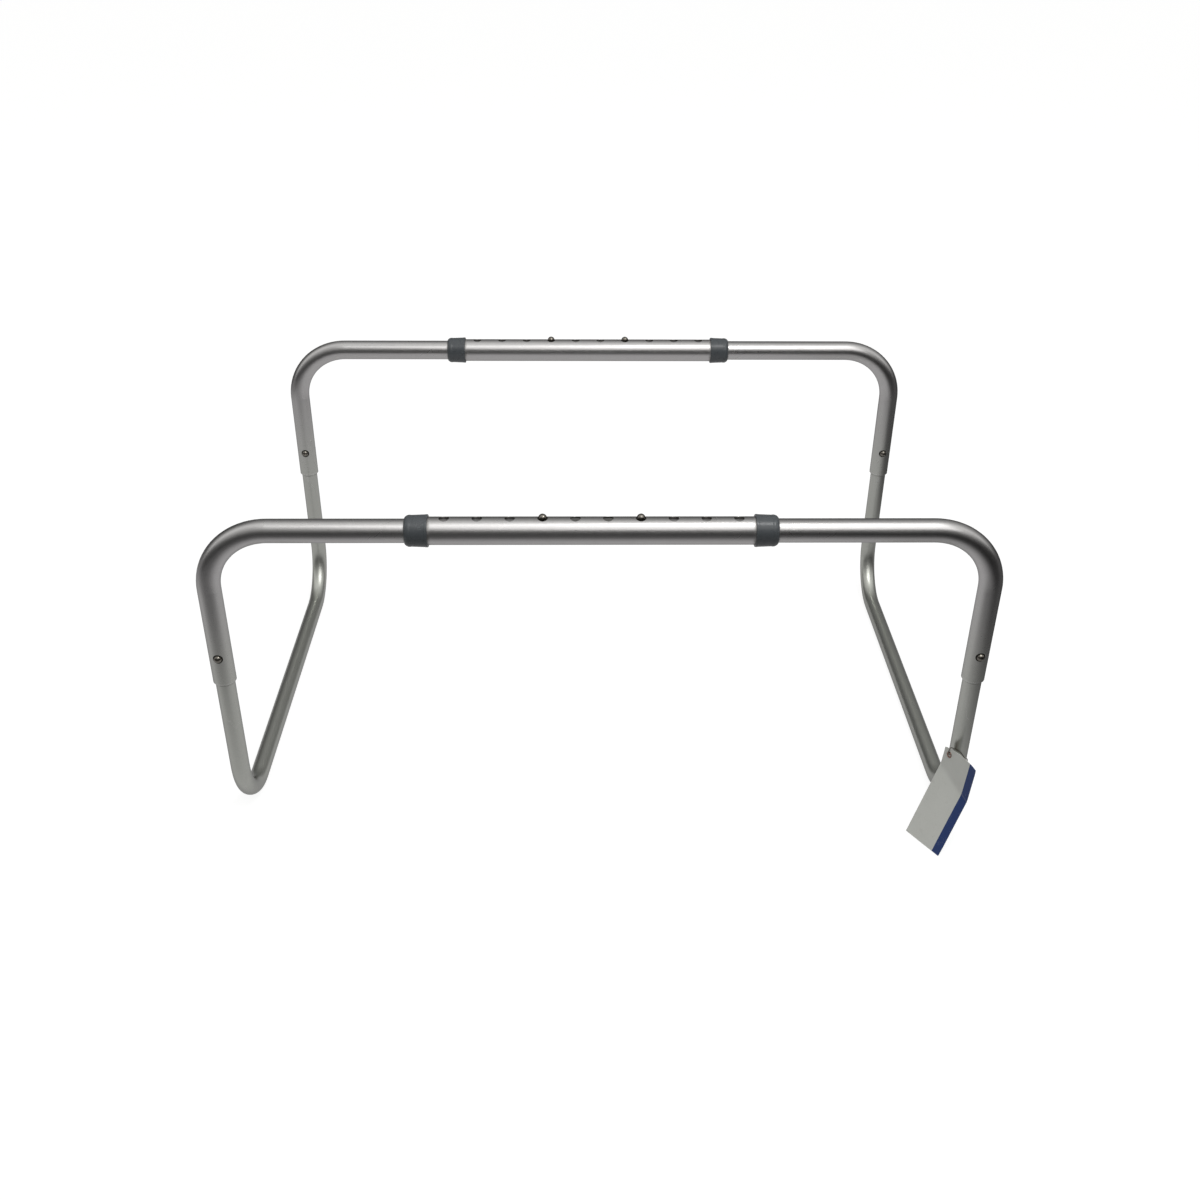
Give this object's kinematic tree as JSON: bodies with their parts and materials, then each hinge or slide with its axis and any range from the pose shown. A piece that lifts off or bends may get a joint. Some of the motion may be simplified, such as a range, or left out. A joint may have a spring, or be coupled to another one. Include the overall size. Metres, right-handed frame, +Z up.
{
  "type": "adjustable bed cradle frame",
  "caption": "Low free-standing tube frame: telescoping crossbars with snap-button width holes stand on U-shaped floor tubes, for holding bedclothes up or for resting on.",
  "frame": {"origin": "floor level, at the centre of the rectangle of the four leg axes", "axes": "+X right along the crossbars, +Y from the front crossbar to the rear one, +Z up"},
  "size_m": [0.643, 0.465, 0.3026],
  "materials": {
    "tube_aluminium": "satin, bead-blasted and clear anodised",
    "collar_plastic": "moulded slate-grey plastic, fine matt texture",
    "button_steel": "nickel-plated, polished",
    "spring_steel": "bright spring steel strip",
    "tag_card": "coated paper card with a plain dark blue band",
    "tag_brass": "reddish pressed metal eyelet",
    "tag_cord": "thin twisted dark cord"
  },
  "bodies": {
    "left_base": {"left_base_tube": "tube_aluminium", "front_left_leg_spring": "spring_steel", "rear_left_leg_spring": "spring_steel"},
    "right_base": {"right_base_tube": "tube_aluminium", "front_right_leg_spring": "spring_steel", "rear_right_leg_spring": "spring_steel"},
    "front_left_corner": {"front_left_corner_tube": "tube_aluminium", "front_left_bar_spring": "spring_steel"},
    "front_sleeve": {"front_sleeve_tube": "tube_aluminium", "front_left_collar": "collar_plastic", "front_right_collar": "collar_plastic"},
    "front_right_corner": {"front_right_corner_tube": "tube_aluminium", "front_right_bar_spring": "spring_steel"},
    "rear_left_corner": {"rear_left_corner_tube": "tube_aluminium", "rear_left_bar_spring": "spring_steel"},
    "rear_sleeve": {"rear_sleeve_tube": "tube_aluminium", "rear_left_collar": "collar_plastic", "rear_right_collar": "collar_plastic"},
    "rear_right_corner": {"rear_right_corner_tube": "tube_aluminium", "rear_right_bar_spring": "spring_steel"},
    "tag": {"tag_card": "tag_card", "tag_eyelet": "tag_brass", "tag_cord": "tag_cord"},
    "front_left_bar_button": {"front_left_bar_button": "button_steel"},
    "front_right_bar_button": {"front_right_bar_button": "button_steel"},
    "rear_left_bar_button": {"rear_left_bar_button": "button_steel"},
    "rear_right_bar_button": {"rear_right_bar_button": "button_steel"},
    "front_left_leg_button": {"front_left_leg_button": "button_steel"},
    "front_right_leg_button": {"front_right_leg_button": "button_steel"},
    "rear_left_leg_button": {"rear_left_leg_button": "button_steel"},
    "rear_right_leg_button": {"rear_right_leg_button": "button_steel"}
  },
  "joints": [
    {"name": "front_hoop_lift", "type": "slide", "parent": "left_base", "child": "front_left_corner", "axis": [0, 0, 1], "range_m": [0, 0.06]},
    {"name": "front_left_extension", "type": "slide", "parent": "front_left_corner", "child": "front_sleeve", "axis": [1, 0, 0], "range_m": [-0.0254, 0.0762]},
    {"name": "front_right_extension", "type": "slide", "parent": "front_sleeve", "child": "front_right_corner", "axis": [1, 0, 0], "range_m": [-0.0254, 0.0762]},
    {"name": "right_base_stays_down", "type": "slide", "parent": "front_right_corner", "child": "right_base", "axis": [0, 0, 1], "range_m": [-0.06, 0]},
    {"name": "rear_hoop_lift", "type": "slide", "parent": "left_base", "child": "rear_left_corner", "axis": [0, 0, 1], "range_m": [0, 0.06]},
    {"name": "rear_left_extension", "type": "slide", "parent": "rear_left_corner", "child": "rear_sleeve", "axis": [1, 0, 0], "range_m": [-0.0254, 0.0762]},
    {"name": "rear_right_extension", "type": "slide", "parent": "rear_sleeve", "child": "rear_right_corner", "axis": [1, 0, 0], "range_m": [-0.0254, 0.0762]},
    {"name": "front_left_bar_button_press", "type": "slide", "parent": "front_left_corner", "child": "front_left_bar_button", "axis": [0, 0, -1], "range_m": [0, 0.0051], "stiffness_N_per_m": 1200, "springref_m": -0.001, "deforming": ["front_left_bar_spring", "front_left_bar_button"]},
    {"name": "front_right_bar_button_press", "type": "slide", "parent": "front_right_corner", "child": "front_right_bar_button", "axis": [0, 0, -1], "range_m": [0, 0.0051], "stiffness_N_per_m": 1200, "springref_m": -0.001, "deforming": ["front_right_bar_spring", "front_right_bar_button"]},
    {"name": "rear_left_bar_button_press", "type": "slide", "parent": "rear_left_corner", "child": "rear_left_bar_button", "axis": [0, 0, -1], "range_m": [0, 0.0051], "stiffness_N_per_m": 1200, "springref_m": -0.001, "deforming": ["rear_left_bar_spring", "rear_left_bar_button"]},
    {"name": "rear_right_bar_button_press", "type": "slide", "parent": "rear_right_corner", "child": "rear_right_bar_button", "axis": [0, 0, -1], "range_m": [0, 0.0051], "stiffness_N_per_m": 1200, "springref_m": -0.001, "deforming": ["rear_right_bar_spring", "rear_right_bar_button"]},
    {"name": "front_left_leg_button_press", "type": "slide", "parent": "left_base", "child": "front_left_leg_button", "axis": [0, 1, 0], "range_m": [0, 0.0041], "stiffness_N_per_m": 1200, "springref_m": -0.001, "deforming": ["front_left_leg_spring", "front_left_leg_button"]},
    {"name": "front_right_leg_button_press", "type": "slide", "parent": "right_base", "child": "front_right_leg_button", "axis": [0, 1, 0], "range_m": [0, 0.0041], "stiffness_N_per_m": 1200, "springref_m": -0.001, "deforming": ["front_right_leg_spring", "front_right_leg_button"]},
    {"name": "rear_left_leg_button_press", "type": "slide", "parent": "left_base", "child": "rear_left_leg_button", "axis": [0, 1, 0], "range_m": [0, 0.0041], "stiffness_N_per_m": 1200, "springref_m": -0.001, "deforming": ["rear_left_leg_spring", "rear_left_leg_button"]},
    {"name": "rear_right_leg_button_press", "type": "slide", "parent": "right_base", "child": "rear_right_leg_button", "axis": [0, 1, 0], "range_m": [0, 0.0041], "stiffness_N_per_m": 1200, "springref_m": -0.001, "deforming": ["rear_right_leg_spring", "rear_right_leg_button"]},
    {"name": "tag_swing", "type": "hinge", "parent": "right_base", "child": "tag", "pos_m": [0.312, -0.1975, 0.0734], "axis": [0, 0, 1], "range_deg": [-30, 60]}
  ],
  "couplings": [
    {"joint": "right_base_stays_down", "follows": "front_hoop_lift", "ratio": -1},
    {"joint": "rear_left_extension", "follows": "front_left_extension", "ratio": 1},
    {"joint": "rear_right_extension", "follows": "front_right_extension", "ratio": 1}
  ]
}
